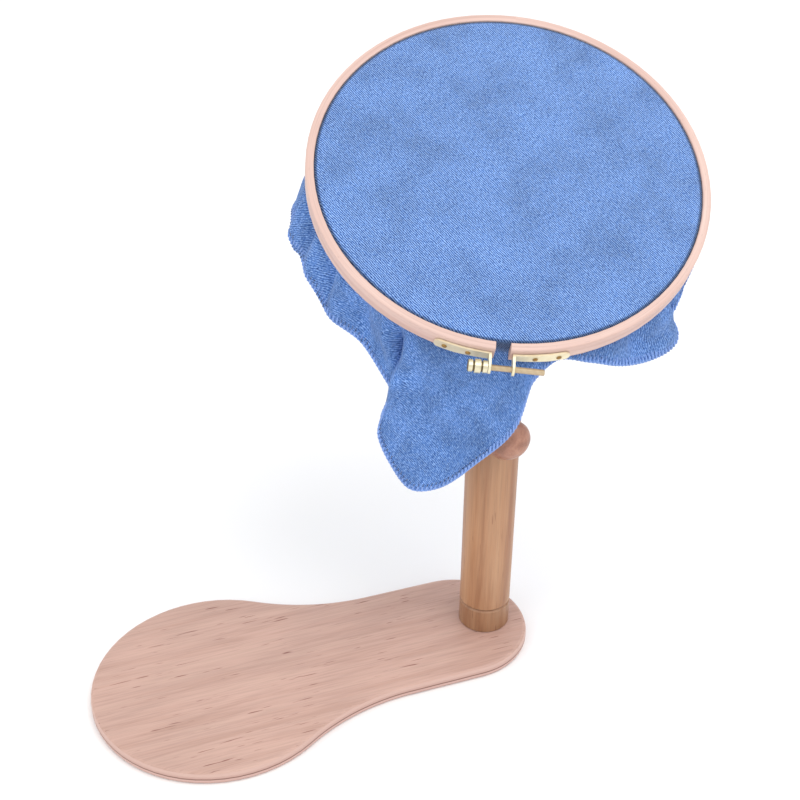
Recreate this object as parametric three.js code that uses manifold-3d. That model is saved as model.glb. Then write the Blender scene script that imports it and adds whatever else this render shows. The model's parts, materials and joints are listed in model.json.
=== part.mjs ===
// Embroidery hoop on a sit-on stand: a plywood paddle to sit on, a turned post that swivels on a
// foot collar, a height-adjusting stem clamped by a wooden knob, and a hoop that tilts on the stem.
// Millimetres, Z up. The origin is the centre of the round seat end, on its underside, and +X runs
// along the paddle to the post.
import * as THREE from 'three';
import { mergeVertices } from 'three/addons/utils/BufferGeometryUtils.js';
import Module from 'manifold-3d';

const wasm = await Module();
wasm.setup();

// ---- driving dimensions ------------------------------------------------------------------------

const TOUCH = 0.3;                 // gap left between pieces that touch
const FINE = 64;                   // segments round a large turned piece
const TURNED_KNOB = 40;            // segments round the clamp knob
const COARSE = 16;                 // segments round a small turned piece
const RING = 80;                   // segments round the hoop
const BEYOND = 60;                 // how far a long cutting tool reaches past the piece it cuts
const PROUD = 1;                   // how far a hole's tool stands out of the face it cuts
const OVERLAP = 0.1;               // how far two shapes run into each other where they are joined
const EDGE = 0.4;                  // chamfer on the ends of small rods
const QUARTER_TURN = Math.PI / 2;

const board = { thickness: 9, seatRadius: 84, waistRadius: 145, footRadius: 49, footCentre: 174, round: 2.4 };
const post = { x: 194.5, radius: 17.5, bottom: 28.3, top: 196, chamfer: 1.2 };
const collar = { bottom: board.thickness + TOUCH, top: 28, spigotRadius: 9, spigotTop: 52, spigotChamfer: 1 };
const baseScrew = { radius: 2.2, headRadius: 4.6, headDepth: 3, rim: 0.4, bottom: 0.4, top: 44, point: 4 };
const driverSlot = { half: 0.6, depth: 1.2 };

const stem = { radius: 10, bottom: 136, chamfer: 1, boreFloor: 114 };
const fork = { slotHalf: 4.3, slotRoom: 1.5, cheekRadius: 9.5, flatHalf: 9, flatDrop: 13 };
const knob = { azimuth: -95.5, height: 179.8, reach: 30, radius: 14, halfDepth: 9 };
const knobNeck = { radius: 6.5, gap: 1.2, shoulder: 1.5, domeStart: -0.68 * QUARTER_TURN };
const knobScrew = { radius: 2.9, inner: stem.radius + TOUCH, outer: 33 };
const insert = { radius: 5.8, boreRadius: 3.2, inner: 11, outer: 17 };

const head = { azimuth: -114.14, height: 232.7, slope: 30.56, roll: -6.88 };
const hinge = { reach: 100.6, depth: 44, boltRadius: 2.4, tongueHalf: 4, tongueRadius: 8 };
const boltHead = { length: 3, edgeRadius: 3.4, radius: 4.4, bevel: 1.6 };
const hingeWasher = { radius: 6, thickness: 1 };
const wingNut = { hubRadius: 5, hubTopRadius: 4.2, hubLength: 7, thickness: 2.4, boltBeyond: 15 };
const wing = { root: 2, low: 1, knee: 4.6, high: 6.6, tipX: 9.5, tipY: 10, tipRadius: 2.2 };
const peg = { depth: 22, radius: 4.5, clearance: 0.3, inner: 91.5, outer: 112 };
const pegScrew = { radius: 1.5, length: 12, point: 2, headRadius: 3.6, headLength: 2.2 };
const pegScrewDome = { radius: 2.2, length: 1.3 };
const pegWasher = { radius: 8.5, thickness: 1 };
const barrel = { radius: 11, inner: 92, outer: 106.7, chamfer: 0.8 };
const ringFoot = { inner: 107, halfWidth: 13, top: -3, bottom: -31, round: 3, screwY: 8, screwZ: -8 };
const footScrew = { radius: 1.3, headRadius: 2.6, recess: 0.2, rim: 0.3, headDepth: 1.4, tip: 121.4, point: 1 };

const outerRing = { inner: 124, outer: 129.3, top: 0, bottom: -12.5, round: 0.9, gapHalf: 4.6 };
const innerRing = { inner: 117.3, outer: 122.6, top: -1.3, bottom: -12.5, round: 0.9 };
const cloth = { thickness: 0.8, cover: 0.2, skirtThickness: 1.6, skirtRadius: 123.3, skirtRows: 3, flare: 0.2 };
// the square cloth's hem: how far it hangs below the rings at an angle round the hoop from its gap
const hem = [
  { angle: -150, drop: 40 },
  { angle: -112, drop: 74 },
  { angle: -62, drop: 38 },
  { angle: -36, drop: 34 },
  { angle: -30, drop: 80 },
  { angle: -19, drop: 98 },
  { angle: 1, drop: 60 },
  { angle: 9, drop: 18 },
  { angle: 20, drop: 8 },
  { angle: 46, drop: 30 },
  { angle: 60, drop: 40 },
  { angle: 72, drop: 24 },
  { angle: 112, drop: 20 },
  { angle: 158, drop: 60 },
  { angle: 210, drop: 40 },
];

const strip = { thickness: 1.2, top: -4, bottom: -12.3, end: 18.3, tabInner: 6.4, tabOuter: 7.9, tabReach: 141.5 };
const pins = { angles: [8.9, 15.3], radius: 0.8, depth: 3.4, point: 0.6 };
const pinHead = { radius: 1.7, height: 0.8, lift: 0.1 };
const tension = { x: 137.6, z: -8.15, rodRadius: 1.9, rodInner: -15, rodOuter: 26, boreRadius: 2.2 };
const grip = {
  collarRadius: 3.8,
  neckRadius: 3.2,
  waistRadius: 4.3,
  collarLength: 2.8,
  waistLength: 3.6,
  neckLength: 1.3,
  bevel: 0.3,
  chamfer: 0.5,
  dish: 1.2,
};

const innerStripRadius = outerRing.outer + TOUCH;
const outerStripRadius = innerStripRadius + strip.thickness;
const degrees = THREE.MathUtils.degToRad;

// ---- materials ---------------------------------------------------------------------------------

function wood(color) {
  return new THREE.MeshStandardMaterial({ color, roughness: 0.6, metalness: 0 });
}

function metal(color, roughness) {
  return new THREE.MeshStandardMaterial({ color, roughness, metalness: 1 });
}

const plyWood = wood(0xd9b49a);
const postWood = wood(0xc79a6e);
const stemWood = wood(0xd8b78c);
const knobWood = wood(0xa97b63);
const ringWood = wood(0xe8c5a8);
const brass = metal(0xe6cf8a, 0.3);
const copperBrass = metal(0xc99a5a, 0.35);
const steel = metal(0xb9bcc0, 0.35);
const blueCloth = new THREE.MeshStandardMaterial({ color: 0x6d9bd8, roughness: 0.9, metalness: 0 });

// ---- geometry helpers --------------------------------------------------------------------------

// A solid of revolution about Z from a closed [radius, height] outline, listed anticlockwise.
function turned(outline, segments = FINE) {
  const points = outline.map(([radius, height]) => new THREE.Vector2(radius, height));
  const geometry = new THREE.LatheGeometry(points, segments);
  return geometry.rotateX(QUARTER_TURN);
}

// A rod about Z with a small chamfer at both ends.
function rod(radius, low, high, chamfer = 0, segments = COARSE) {
  const outline = [[0, low], [radius - chamfer, low]];
  if (chamfer > 0) {
    outline.push([radius, low + chamfer], [radius, high - chamfer]);
  }
  outline.push([radius - chamfer, high], [0, high]);
  return turned(outline, segments);
}

// A tube about Z, its four edges rounded by `round`.
function ringSolid({ inner, outer, top, bottom, round }, segments) {
  const path = new THREE.Path();
  path.absarc(outer - round, bottom + round, round, -QUARTER_TURN, 0, false);
  path.absarc(outer - round, top - round, round, 0, QUARTER_TURN, false);
  path.absarc(inner + round, top - round, round, QUARTER_TURN, Math.PI, false);
  path.absarc(inner + round, bottom + round, round, Math.PI, 3 * QUARTER_TURN, false);
  path.closePath();
  const outline = path.getPoints(1).map((point) => [point.x, point.y]);
  return turned(outline, segments);
}

// A washer, or any plain square-edged ring, about Z.
function washerShape(bore, radius, low, high, segments = COARSE) {
  return turned([[bore, low], [radius, low], [radius, high], [bore, high], [bore, low]], segments);
}

// The outline of a dome about Z, from an angle on its ellipse up to its crown.
function domeOutline(middle, radius, height, steps, start = 0) {
  const curve = new THREE.EllipseCurve(0, middle, radius, height, start, QUARTER_TURN);
  const outline = curve.getPoints(steps).map((point) => [point.x, point.y]);
  outline[steps][0] = 0;
  return outline;
}

// Turns a shape built along Z so that it runs along X.
function alongX(geometry) {
  return geometry.rotateY(QUARTER_TURN);
}

// Turns a shape built along Z so that it runs along Y.
function alongY(geometry) {
  return geometry.rotateX(-QUARTER_TURN);
}

function box(x, y, z) {
  const geometry = new THREE.BoxGeometry(x[1] - x[0], y[1] - y[0], z[1] - z[0]);
  return geometry.translate((x[0] + x[1]) / 2, (y[0] + y[1]) / 2, (z[0] + z[1]) / 2);
}

function toSolid(geometry) {
  const bare = geometry.clone();
  bare.deleteAttribute('normal');
  bare.deleteAttribute('uv');
  const merged = mergeVertices(bare, 1e-4);
  const vertProperties = new Float32Array(merged.attributes.position.array);
  const corners = merged.index.array;
  const kept = [];
  for (let i = 0; i < corners.length; i += 3) {
    const [a, b, c] = [corners[i], corners[i + 1], corners[i + 2]];
    if (a !== b && b !== c && c !== a) {
      kept.push(a, b, c);
    }
  }
  const mesh = new wasm.Mesh({ numProp: 3, vertProperties, triVerts: new Uint32Array(kept) });
  return new wasm.Manifold(mesh);
}

function toGeometry(solid) {
  const mesh = solid.getMesh();
  const geometry = new THREE.BufferGeometry();
  geometry.setAttribute('position', new THREE.BufferAttribute(new Float32Array(mesh.vertProperties), 3));
  geometry.setIndex(Array.from(mesh.triVerts));
  geometry.computeVertexNormals();
  return geometry;
}

// The first geometry with the others cut out of it.
function cut(geometry, ...tools) {
  let solid = toSolid(geometry);
  for (const tool of tools) {
    solid = solid.subtract(toSolid(tool));
  }
  return toGeometry(solid);
}

function join(...geometries) {
  return toGeometry(geometries.map(toSolid).reduce((sum, solid) => sum.add(solid)));
}

function common(...geometries) {
  return toGeometry(geometries.map(toSolid).reduce((sum, solid) => sum.intersect(solid)));
}

function addPiece(parent, name, geometry, material) {
  const mesh = new THREE.Mesh(geometry, material);
  mesh.name = name;
  parent.add(mesh);
  return mesh;
}

// ---- base --------------------------------------------------------------------------------------

// The paddle's outline: a round seat end and a smaller round foot end, joined by two hollow
// waist arcs that run into straight sides.
function paddleOutline() {
  const { seatRadius, waistRadius, footRadius, footCentre } = board;
  const waistY = footRadius + waistRadius;
  const waistX = Math.sqrt((seatRadius + waistRadius) ** 2 - waistY ** 2);
  const meet = Math.atan2(waistY, waistX);
  const shape = new THREE.Shape();
  shape.absarc(0, 0, seatRadius, meet, 2 * Math.PI - meet, false);
  shape.absarc(waistX, -waistY, waistRadius, Math.PI - meet, QUARTER_TURN, true);
  shape.absarc(footCentre, 0, footRadius, -QUARTER_TURN, QUARTER_TURN, false);
  shape.absarc(waistX, waistY, waistRadius, -QUARTER_TURN, meet - Math.PI, true);
  shape.closePath();
  return shape;
}

function baseBoard() {
  const plate = new THREE.ExtrudeGeometry(paddleOutline(), {
    depth: board.thickness - 2 * board.round,
    curveSegments: 20,
    bevelThickness: board.round,
    bevelSize: board.round,
    bevelOffset: -board.round,
    bevelSegments: 2,
  });
  plate.translate(0, 0, board.round);
  const { headRadius, headDepth, radius, bottom } = baseScrew;
  const countersink = turned([
    [0, -PROUD],
    [headRadius + TOUCH, -PROUD],
    [headRadius + TOUCH, bottom],
    [radius + TOUCH, bottom + headDepth + TOUCH],
    [radius + TOUCH, board.thickness + PROUD],
    [0, board.thickness + PROUD],
  ], COARSE);
  return cut(plate, countersink.translate(post.x, 0, 0));
}

function baseScrewShape() {
  const { headRadius, headDepth, rim, radius, bottom, top, point } = baseScrew;
  const screw = turned([
    [0, bottom],
    [headRadius, bottom],
    [headRadius, bottom + rim],
    [radius, bottom + headDepth],
    [radius, top - point],
    [0, top],
  ], COARSE);
  const { half, depth } = driverSlot;
  return cut(screw, box([-BEYOND, BEYOND], [-half, half], [bottom - PROUD, bottom + depth]));
}

function footCollar() {
  const { chamfer, radius } = post;
  const { bottom, top, spigotRadius, spigotTop, spigotChamfer } = collar;
  const body = turned([
    [0, bottom],
    [radius - EDGE, bottom],
    [radius, bottom + EDGE],
    [radius, top - chamfer],
    [radius - chamfer, top],
    [spigotRadius, top],
    [spigotRadius, spigotTop - spigotChamfer],
    [spigotRadius - spigotChamfer, spigotTop],
    [0, spigotTop],
  ]);
  return cut(body, rod(baseScrew.radius + TOUCH, 0, baseScrew.top + TOUCH));
}

// ---- post, knob and stem -----------------------------------------------------------------------

function postShape() {
  const body = rod(post.radius, post.bottom, post.top, post.chamfer, FINE);
  const spigotBore = rod(collar.spigotRadius + TOUCH, 0, collar.spigotTop + 2 * PROUD, 0, FINE);
  const stemBore = rod(stem.radius + TOUCH, stem.boreFloor, post.top + PROUD, 0, FINE);
  const insertHole = alongX(rod(insert.radius + TOUCH, 0, post.radius + PROUD));
  insertHole.rotateZ(degrees(knob.azimuth)).translate(0, 0, knob.height);
  return cut(body, spigotBore, stemBore, insertHole);
}

function knobShape() {
  const { reach, radius, halfDepth } = knob;
  const neckFace = post.radius + knobNeck.gap;
  const dome = domeOutline(reach, radius, halfDepth, 10, knobNeck.domeStart);
  const neckEnd = dome[0][1] - knobNeck.shoulder;
  const neck = [[0, neckFace], [knobNeck.radius, neckFace], [knobNeck.radius, neckEnd]];
  const body = turned([...neck, ...dome], TURNED_KNOB);
  const bore = rod(knobScrew.radius + TOUCH, neckFace - PROUD, knobScrew.outer + TOUCH);
  return alongX(cut(body, bore));
}

function stemShape() {
  const { radius, bottom, chamfer } = stem;
  const { slotHalf, slotRoom, cheekRadius, flatHalf, flatDrop } = fork;
  const wide = [-2 * radius, 2 * radius];
  const top = head.height + cheekRadius + PROUD;
  const body = rod(radius, bottom, top, chamfer, FINE);
  const slotBottom = head.height - hinge.tongueRadius - slotRoom;
  const slot = box(wide, [-slotHalf, slotHalf], [slotBottom, top + PROUD]);
  const boltHole = alongY(rod(hinge.boltRadius + TOUCH, ...wide)).translate(0, 0, head.height);
  // the fork's cheeks are rounded about the hinge and flattened for the washers
  const roundTop = alongY(rod(cheekRadius, ...wide, 0, FINE)).translate(0, 0, head.height);
  const below = box(wide, wide, [bottom - PROUD, head.height]);
  const flatBottom = head.height - flatDrop;
  const cheeks = box(wide, [-flatHalf, flatHalf], [flatBottom, top + PROUD]);
  const shank = box(wide, wide, [bottom - PROUD, flatBottom + OVERLAP]);
  return cut(common(body, join(roundTop, below), join(shank, cheeks)), slot, boltHole);
}

// ---- hinge hardware, built about the hinge's axis along Y ---------------------------------------

const washerInner = fork.flatHalf + TOUCH;
const washerOuter = washerInner + hingeWasher.thickness;
const boltEnd = washerOuter + wingNut.boltBeyond;

function hingeBolt() {
  const { length, edgeRadius, radius, bevel } = boltHead;
  const headBase = washerOuter + TOUCH;
  const shank = alongY(rod(hinge.boltRadius, -headBase - OVERLAP, boltEnd, EDGE));
  const bolt = turned([[0, 0], [edgeRadius, 0], [radius, bevel], [radius, length], [0, length]], COARSE);
  return join(shank, alongY(bolt).translate(0, -headBase - length, 0));
}

function hingeWasherShape(side) {
  const washer = alongY(washerShape(hinge.boltRadius + TOUCH, hingeWasher.radius, washerInner, washerOuter));
  return side > 0 ? washer : washer.rotateZ(Math.PI);
}

// One wing, in XY with the hub's axis along Y: it leans outwards and ends in a round tip.
function wingOutline() {
  const { root, low, knee, high, tipX, tipY, tipRadius } = wing;
  const outline = new THREE.Shape();
  outline.moveTo(root, low);
  outline.lineTo(knee, low);
  outline.quadraticCurveTo(tipX, tipY / 2, tipX + tipRadius, tipY);
  outline.absarc(tipX, tipY, tipRadius, 0, 1.5 * QUARTER_TURN, false);
  outline.lineTo(root, high);
  outline.closePath();
  return outline;
}

function wingNutShape() {
  const { hubRadius, hubTopRadius, hubLength, thickness } = wingNut;
  const base = washerOuter + TOUCH;
  const hub = turned([[0, 0], [hubRadius, 0], [hubTopRadius, hubLength], [0, hubLength]], COARSE);
  const extrusion = { depth: thickness, bevelEnabled: false, curveSegments: 6 };
  const plate = new THREE.ExtrudeGeometry(wingOutline(), extrusion);
  plate.translate(0, base, -thickness / 2);
  const otherPlate = plate.clone().rotateY(Math.PI);
  const threadHole = alongY(rod(hinge.boltRadius + TOUCH, 0, boltEnd + PROUD));
  return cut(join(alongY(hub).translate(0, base, 0), plate, otherPlate), threadHole);
}

// The head that joins stem and hoop: a tongue in the fork and a cross barrel for the roll peg.
// Its origin is on the hinge's axis, +X points out to the hoop's near edge and +Z up to the cloth.
function tiltHead() {
  const rise = hinge.depth - peg.depth;
  const low = barrel.inner - hinge.reach;
  const high = barrel.outer - hinge.reach;
  const barrelBody = alongX(rod(barrel.radius, low, high, barrel.chamfer, FINE)).translate(0, 0, rise);
  const { tongueHalf, tongueRadius, boltRadius } = hinge;
  const tongueSlab = box([-tongueRadius, Math.min(tongueRadius, high)], [-tongueHalf, tongueHalf], [0, rise]);
  const tongueEnd = alongY(rod(tongueRadius, -tongueHalf, tongueHalf, 0, FINE));
  const boltHole = alongY(rod(boltRadius + TOUCH, -BEYOND, BEYOND));
  const pegHole = alongX(rod(peg.radius + peg.clearance, -BEYOND, BEYOND)).translate(0, 0, rise);
  return cut(join(barrelBody, tongueSlab, tongueEnd), boltHole, pegHole);
}

// ---- roll peg and ring foot, built in the hoop's own frame --------------------------------------
// Its origin is the middle of the cloth, +X points to the gap in the outer ring and +Z out of it.

function rollPeg() {
  const body = alongX(rod(peg.radius, peg.inner, peg.outer, EDGE));
  const pilotEnd = peg.inner + pegScrew.length + PROUD;
  const pilot = alongX(rod(pegScrew.radius + TOUCH, peg.inner - PROUD, pilotEnd));
  return cut(body, pilot).translate(0, 0, -peg.depth);
}

function pegWasherShape() {
  const face = peg.inner - TOUCH;
  const washer = washerShape(pegScrew.radius + TOUCH, pegWasher.radius, face - pegWasher.thickness, face);
  return alongX(washer).translate(0, 0, -peg.depth);
}

function pegScrewShape() {
  const { radius, length, point, headRadius, headLength } = pegScrew;
  const headFace = peg.inner - pegWasher.thickness - 2 * TOUCH;
  const headEnd = headFace - headLength;
  const screw = turned([
    [0, headEnd],
    [pegScrewDome.radius, headEnd],
    [headRadius, headEnd + pegScrewDome.length],
    [headRadius, headFace],
    [radius, headFace],
    [radius, peg.inner + length - point],
    [0, peg.inner + length],
  ], COARSE);
  return alongX(screw).translate(0, 0, -peg.depth);
}

function ringFootShape() {
  const { inner, halfWidth, top, bottom, round, screwY, screwZ } = ringFoot;
  const profile = new THREE.Shape();
  profile.moveTo(-halfWidth, top);
  profile.lineTo(-halfWidth, bottom + round);
  profile.absarc(-halfWidth + round, bottom + round, round, Math.PI, 3 * QUARTER_TURN, false);
  profile.absarc(halfWidth - round, bottom + round, round, 3 * QUARTER_TURN, 4 * QUARTER_TURN, false);
  profile.lineTo(halfWidth, top);
  profile.closePath();
  const reach = innerRing.inner - TOUCH;
  const block = new THREE.ExtrudeGeometry(profile, { depth: reach - inner, bevelEnabled: false });
  block.rotateX(QUARTER_TURN).rotateZ(QUARTER_TURN).translate(inner, 0, 0);
  const seat = rod(reach, bottom - PROUD, top + PROUD, 0, 4 * FINE);
  const pegSocket = alongX(rod(peg.radius + TOUCH, 0, peg.outer + TOUCH)).translate(0, 0, -peg.depth);
  const screwHoles = [-1, 1].map((side) => footScrewShape(TOUCH).translate(0, side * screwY, screwZ));
  return cut(common(block, seat), pegSocket, ...screwHoles);
}

// A small countersunk screw from the ring foot into the inner ring. With a growth it is the hole
// that the screw goes into.
function footScrewShape(growth = 0) {
  const { radius, headRadius, recess, rim, headDepth, tip, point } = footScrew;
  const face = ringFoot.inner + (growth > 0 ? -PROUD : recess);
  const rimEnd = ringFoot.inner + recess + rim + growth;
  const screw = turned([
    [0, face],
    [headRadius + growth, face],
    [headRadius + growth, rimEnd],
    [radius + growth, rimEnd + headDepth],
    [radius + growth, tip + growth - point],
    [0, tip + growth],
  ], COARSE);
  return alongX(screw);
}

// ---- hoop rings and cloth ----------------------------------------------------------------------

function innerRingShape() {
  const holes = [-1, 1].map((side) => footScrewShape(TOUCH).translate(0, side * ringFoot.screwY, ringFoot.screwZ));
  return cut(ringSolid(innerRing, RING), ...holes);
}

function pinPlace(geometry, angle) {
  return geometry.translate(0, 0, (strip.top + strip.bottom) / 2).rotateZ(degrees(angle));
}

function pinAngles() {
  return pins.angles.flatMap((angle) => [-angle, angle]).sort((a, b) => a - b);
}

function outerRingShape() {
  const { inner, outer, top, bottom, gapHalf } = outerRing;
  const gap = box([inner - PROUD, outer + PROUD], [-gapHalf, gapHalf], [bottom - PROUD, top + PROUD]);
  const pinHoles = pinAngles().map((angle) => {
    const hole = alongX(rod(pins.radius + TOUCH, outer - pins.depth - TOUCH, outer + PROUD));
    return pinPlace(hole, angle);
  });
  return cut(ringSolid(outerRing, RING), gap, ...pinHoles);
}

function clothPanel() {
  return rod(outerRing.inner - TOUCH, -cloth.cover - cloth.thickness, -cloth.cover, 0, RING);
}

function clothBand() {
  const inner = innerRing.outer + TOUCH;
  const outer = outerRing.inner - TOUCH;
  const panelUnderside = -cloth.cover - cloth.thickness;
  return washerShape(inner, outer, outerRing.bottom, panelUnderside - TOUCH, RING);
}

// How far the cloth hangs below the rings at an angle round the hoop, in degrees from the gap.
function clothDrop(angle) {
  const next = hem.findIndex((place) => place.angle > angle && place !== hem[0]);
  const [before, after] = [hem[next - 1], hem[next]];
  const turn = (angle - before.angle) / (after.angle - before.angle);
  return THREE.MathUtils.lerp(before.drop, after.drop, turn);
}

// The loose cloth: a thin band below the rings whose lower rows are drawn down towards the floor
// by the cloth's drop, and out by the flare. `down` is straight down in the hoop's own frame.
function clothSkirt(down) {
  const { skirtRows: rows, skirtThickness, skirtRadius, flare } = cloth;
  const high = outerRing.bottom - 2 * TOUCH;
  const half = skirtThickness / 2;
  const outline = [];
  for (let row = rows; row >= 0; row -= 1) {
    outline.push([skirtRadius + half, high - row]);
  }
  for (let row = 0; row <= rows; row += 1) {
    outline.push([skirtRadius - half, high - row]);
  }
  outline.push(outline[0]);
  const geometry = turned(outline, RING);
  const position = geometry.attributes.position;
  const point = new THREE.Vector3();
  for (let i = 0; i < position.count; i += 1) {
    point.fromBufferAttribute(position, i);
    const angle = THREE.MathUtils.radToDeg(Math.atan2(point.y, point.x));
    const drop = clothDrop(angle) * (high - point.z) / rows;
    const outward = new THREE.Vector3(point.x, point.y, 0).normalize();
    outward.addScaledVector(down, -outward.dot(down)).normalize();
    point.z = high;
    point.addScaledVector(down, drop).addScaledVector(outward, drop * flare);
    position.setXYZ(i, point.x, point.y, point.z);
  }
  return geometry;
}

// ---- brass bracket and tension screw -----------------------------------------------------------

// A bracket is a strip bent round the ring, turned out at the gap as a tab for the screw.
// side is +1 for the bracket on the +Y side of the gap and -1 for its mirror image.
function bracket(side) {
  const { tabInner, tabOuter, tabReach, end, top, bottom } = strip;
  const endAngle = degrees(end);
  const outline = new THREE.Shape();
  outline.moveTo(Math.sqrt(innerStripRadius ** 2 - tabInner ** 2), tabInner);
  outline.lineTo(tabReach, tabInner);
  outline.lineTo(tabReach, tabOuter);
  outline.absarc(0, 0, outerStripRadius, Math.asin(tabOuter / outerStripRadius), endAngle, false);
  outline.absarc(0, 0, innerStripRadius, endAngle, Math.asin(tabInner / innerStripRadius), true);
  const band = new THREE.ExtrudeGeometry(outline, { depth: top - bottom, bevelEnabled: false, curveSegments: 12 });
  band.translate(0, 0, bottom);
  // both ends are half circles: the tab's seen along Y, the strip's seen along the radius
  const middle = (top + bottom) / 2;
  const halfHeight = (top - bottom) / 2;
  const tabEnd = stadium(tabReach, halfHeight).rotateX(QUARTER_TURN).translate(0, BEYOND, middle);
  const stripEnd = stadium(0, halfHeight).rotateX(QUARTER_TURN).rotateZ(QUARTER_TURN);
  stripEnd.translate(innerStripRadius - BEYOND / 2, 0, middle).rotateZ(endAngle);
  const pinHoles = pins.angles.map((angle) => {
    const hole = alongX(rod(pins.radius + TOUCH, outerRing.outer - PROUD, outerStripRadius + PROUD));
    return pinPlace(hole, angle);
  });
  const rodHole = alongY(rod(tension.boreRadius, 0, BEYOND)).translate(tension.x, 0, tension.z);
  const piece = cut(common(band, tabEnd, stripEnd), rodHole, ...pinHoles);
  return side > 0 ? piece : mirrorY(piece);
}

// A long bar lying in XY that ends in a half circle at x = `end`; it is extruded up past the piece.
function stadium(end, halfHeight) {
  const shape = new THREE.Shape();
  shape.moveTo(end - 2 * BEYOND, -halfHeight);
  shape.absarc(end - halfHeight, 0, halfHeight, -QUARTER_TURN, QUARTER_TURN, false);
  shape.lineTo(end - 2 * BEYOND, halfHeight);
  shape.closePath();
  return new THREE.ExtrudeGeometry(shape, { depth: 2 * BEYOND, bevelEnabled: false, curveSegments: 12 });
}

function mirrorY(geometry) {
  const mirrored = geometry.clone().scale(1, -1, 1);
  const index = Array.from(mirrored.index.array);
  for (let i = 0; i < index.length; i += 3) {
    [index[i], index[i + 1]] = [index[i + 1], index[i]];
  }
  mirrored.setIndex(index);
  return mirrored;
}

function bracketPin(angle) {
  const { radius, depth, point } = pins;
  const base = outerStripRadius + pinHead.lift;
  const tip = outerRing.outer - depth;
  const head = domeOutline(base, pinHead.radius, pinHead.height, 3);
  const pin = turned([[0, tip], [radius, tip + point], [radius, base], ...head], COARSE);
  return pinPlace(alongX(pin), angle);
}

function tensionRod() {
  const { x, z, rodRadius, rodInner, rodOuter } = tension;
  return alongY(rod(rodRadius, rodInner, rodOuter, EDGE)).translate(x, 0, z);
}

// The turned finger grip on the tension rod: a collar at the tab, a wide waist and an end collar.
function tensionGrip() {
  const { x, z, boreRadius, rodInner } = tension;
  const { collarRadius, neckRadius, waistRadius, collarLength, waistLength, neckLength } = grip;
  const { bevel, chamfer, dish } = grip;
  const face = strip.tabOuter + TOUCH;
  const waistStart = face + collarLength + neckLength;
  const waistEnd = waistStart + waistLength;
  const endStart = waistEnd + neckLength;
  const end = endStart + collarLength;
  const body = turned([
    [0, face],
    [collarRadius, face],
    [collarRadius, face + collarLength],
    [neckRadius, face + collarLength + bevel],
    [neckRadius, waistStart - bevel],
    [waistRadius, waistStart],
    [waistRadius, waistEnd],
    [neckRadius, waistEnd + bevel],
    [neckRadius, endStart - bevel],
    [collarRadius, endStart],
    [collarRadius, end - chamfer],
    [collarRadius - chamfer, end],
    [boreRadius, end],
    [boreRadius - chamfer, end - dish],
    [0, end - dish],
  ], COARSE);
  const bore = rod(boreRadius, 0, TOUCH - rodInner);
  return alongY(cut(body, bore)).rotateZ(Math.PI).translate(x, 0, z);
}

// ---- assembly ----------------------------------------------------------------------------------

const stand = new THREE.Group();
addPiece(stand, 'base_board', baseBoard(), plyWood);

const postAxis = new THREE.Group();
postAxis.position.set(post.x, 0, 0);
stand.add(postAxis);
addPiece(postAxis, 'base_screw', baseScrewShape(), steel);
addPiece(postAxis, 'foot_collar', footCollar(), postWood);
addPiece(postAxis, 'post', postShape(), postWood);

const knobAxis = new THREE.Group();
knobAxis.position.set(0, 0, knob.height);
knobAxis.rotation.z = degrees(knob.azimuth);
postAxis.add(knobAxis);
const { boreRadius: insertBore, radius: insertRadius, inner: insertInner, outer: insertOuter } = insert;
addPiece(knobAxis, 'knob_insert', alongX(washerShape(insertBore, insertRadius, insertInner, insertOuter)), brass);
addPiece(knobAxis, 'knob_screw', alongX(rod(knobScrew.radius, knobScrew.inner, knobScrew.outer, EDGE)), steel);
addPiece(knobAxis, 'clamp_knob', knobShape(), knobWood);

const headAxis = new THREE.Group();
headAxis.rotation.z = degrees(head.azimuth);
postAxis.add(headAxis);
addPiece(headAxis, 'stem', stemShape(), stemWood);

const hingeAxis = new THREE.Group();
hingeAxis.position.z = head.height;
headAxis.add(hingeAxis);
addPiece(hingeAxis, 'tilt_bolt', hingeBolt(), steel);
addPiece(hingeAxis, 'tilt_washer_head', hingeWasherShape(-1), steel);
addPiece(hingeAxis, 'tilt_washer_nut', hingeWasherShape(1), steel);
addPiece(hingeAxis, 'tilt_wing_nut', wingNutShape(), brass);

const tiltAxis = new THREE.Group();
tiltAxis.rotation.y = degrees(head.slope);
hingeAxis.add(tiltAxis);
addPiece(tiltAxis, 'tilt_head', tiltHead(), stemWood);

const rollAxis = new THREE.Group();
rollAxis.position.z = hinge.depth - peg.depth;
rollAxis.rotation.x = degrees(head.roll);
tiltAxis.add(rollAxis);

const hoop = new THREE.Group();
hoop.position.set(-hinge.reach, 0, peg.depth);
rollAxis.add(hoop);
stand.updateMatrixWorld(true);
const hoopTurn = new THREE.Quaternion().setFromRotationMatrix(hoop.matrixWorld);
const straightDown = new THREE.Vector3(0, 0, -1).applyQuaternion(hoopTurn.invert());

addPiece(hoop, 'roll_peg', rollPeg(), stemWood);
addPiece(hoop, 'peg_washer', pegWasherShape(), steel);
addPiece(hoop, 'peg_screw', pegScrewShape(), steel);
addPiece(hoop, 'ring_foot', ringFootShape(), stemWood);
for (const [name, side] of [['foot_screw_left', -1], ['foot_screw_right', 1]]) {
  addPiece(hoop, name, footScrewShape().translate(0, side * ringFoot.screwY, ringFoot.screwZ), brass);
}
addPiece(hoop, 'inner_ring', innerRingShape(), ringWood);
addPiece(hoop, 'cloth_panel', clothPanel(), blueCloth);
addPiece(hoop, 'cloth_band', clothBand(), blueCloth);
addPiece(hoop, 'cloth_skirt', clothSkirt(straightDown), blueCloth);
addPiece(hoop, 'outer_ring', outerRingShape(), ringWood);
addPiece(hoop, 'bracket_left', bracket(-1), brass);
addPiece(hoop, 'bracket_right', bracket(1), brass);
pinAngles().forEach((angle, index) => {
  addPiece(hoop, `bracket_pin_${index + 1}`, bracketPin(angle), brass);
});
addPiece(hoop, 'tension_rod', tensionRod(), copperBrass);
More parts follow.
